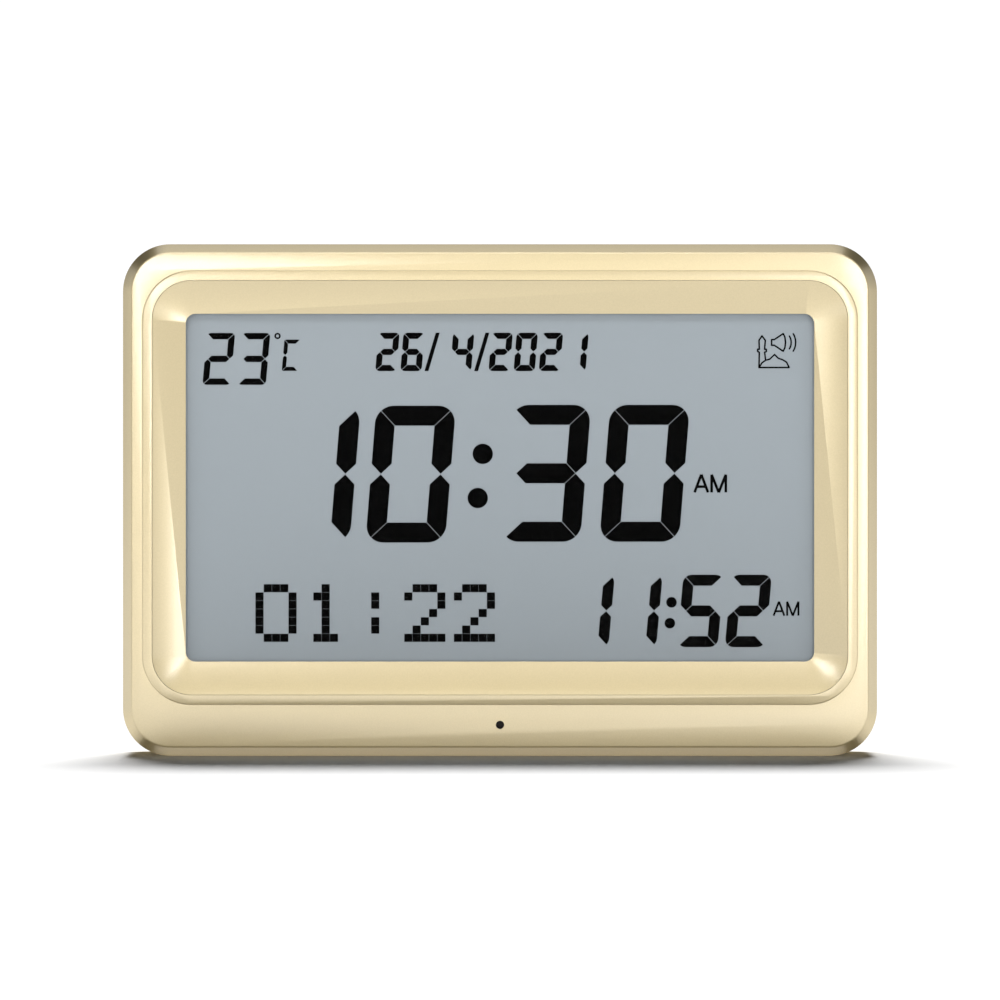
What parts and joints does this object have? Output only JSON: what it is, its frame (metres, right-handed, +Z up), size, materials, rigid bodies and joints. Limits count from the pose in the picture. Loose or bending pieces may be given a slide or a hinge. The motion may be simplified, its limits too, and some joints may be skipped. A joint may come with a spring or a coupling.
{
  "type": "azan clock",
  "caption": "Wide desk clock with a large grey liquid crystal display in a sloping champagne surround, a fold-out leg, rear keys, a speaker and a battery bay",
  "frame": {"origin": "centre of the footprint, on the surface the clock stands on", "axes": "+Z up, +X to the right seen from the front, -Y towards the viewer"},
  "size_m": [0.2266, 0.032, 0.1538],
  "materials": {
    "case_gold": "champagne paint with fine metal grain",
    "surround_gold": "champagne paint with fine metal grain",
    "rear_gold": "champagne, fine grain",
    "key_gold": "champagne, smooth",
    "window_clear": "clear acrylic",
    "film_clear": "clear film",
    "glass_clear": "clear",
    "display_grey": "reflective grey",
    "segment_black": "black",
    "foam_black": "foam",
    "contact_rubber": "striped",
    "holder_white": "plain",
    "board_green": "solder mask",
    "chip_black": "resin",
    "can_steel": "bright",
    "capacitor_blue": "sleeved",
    "sensor_black": "bead",
    "lamp_dark": "smoked",
    "lamp_clear": "clear red",
    "switch_black": "plain",
    "plunger_white": "plain",
    "speaker_steel": "plated",
    "cone_paper": "pressed paper",
    "lead_red": "insulated wire",
    "contact_nickel": "plated",
    "cell_wrap": "plain sleeve"
  },
  "bodies": {
    "case": {"front_housing": "case_gold", "screen_surround": "surround_gold", "rear_cover": "rear_gold", "display_lens": "window_clear", "lcd_front_film": "film_clear", "lcd_front_glass": "glass_clear", "lcd_rear_glass": "glass_clear", "lcd_rear_film": "display_grey", "lcd_segments": "segment_black", "lcd_gasket": "foam_black", "lcd_connectors": "contact_rubber", "lcd_holder": "holder_white", "main_board": "board_green", "key_board": "board_green", "clock_chip": "chip_black", "sound_chips": "chip_black", "key_header": "chip_black", "crystal_can": "can_steel", "stand_pin": "can_steel", "case_screws": "can_steel", "board_screws": "can_steel", "speaker_screws": "can_steel", "key_board_screws": "can_steel", "board_capacitors": "capacitor_blue", "thermistor": "sensor_black", "status_lens": "lamp_dark", "status_led": "lamp_clear", "key_switches": "switch_black", "speaker_frame": "speaker_steel", "speaker_magnet": "speaker_steel", "speaker_cone": "cone_paper", "battery_leads": "lead_red", "speaker_leads": "lead_red", "battery_contacts": "contact_nickel", "battery_springs": "contact_nickel", "battery_cell_1": "cell_wrap", "battery_cell_2": "cell_wrap", "battery_cell_3": "cell_wrap"},
    "stand": {"stand_leg": "rear_gold"},
    "door": {"battery_door": "rear_gold"},
    "menu_key": {"menu_key": "key_gold", "menu_plunger": "plunger_white"},
    "set_key": {"set_key": "key_gold", "set_plunger": "plunger_white"},
    "plus_key": {"plus_key": "key_gold", "plus_plunger": "plunger_white"},
    "minus_key": {"minus_key": "key_gold", "minus_plunger": "plunger_white"},
    "call_key": {"call_key": "key_gold", "call_plunger": "plunger_white"},
    "light_key": {"light_key": "key_gold", "light_plunger": "plunger_white"}
  },
  "joints": [
    {"name": "stand_hinge", "type": "hinge", "parent": "case", "child": "stand", "pos_m": [0, 0.01345, 0.1045], "axis": [1, 0, 0], "range_deg": [0, 30]},
    {"name": "door_hinge", "type": "hinge", "parent": "case", "child": "door", "pos_m": [-0.06305, 0.01455, 0.06857], "axis": [1, 0, 0], "range_deg": [0, 90]},
    {"name": "menu_press", "type": "slide", "parent": "case", "child": "menu_key", "axis": [0, -1, 0], "range_m": [0, 0.0008], "stiffness_N_per_m": 1200},
    {"name": "set_press", "type": "slide", "parent": "case", "child": "set_key", "axis": [0, -1, 0], "range_m": [0, 0.0008], "stiffness_N_per_m": 1200},
    {"name": "plus_press", "type": "slide", "parent": "case", "child": "plus_key", "axis": [0, -1, 0], "range_m": [0, 0.0008], "stiffness_N_per_m": 1200},
    {"name": "minus_press", "type": "slide", "parent": "case", "child": "minus_key", "axis": [0, -1, 0], "range_m": [0, 0.0008], "stiffness_N_per_m": 1200},
    {"name": "call_press", "type": "slide", "parent": "case", "child": "call_key", "axis": [0, -1, 0], "range_m": [0, 0.0008], "stiffness_N_per_m": 1200},
    {"name": "light_press", "type": "slide", "parent": "case", "child": "light_key", "axis": [0, -1, 0], "range_m": [0, 0.0008], "stiffness_N_per_m": 1200}
  ]
}
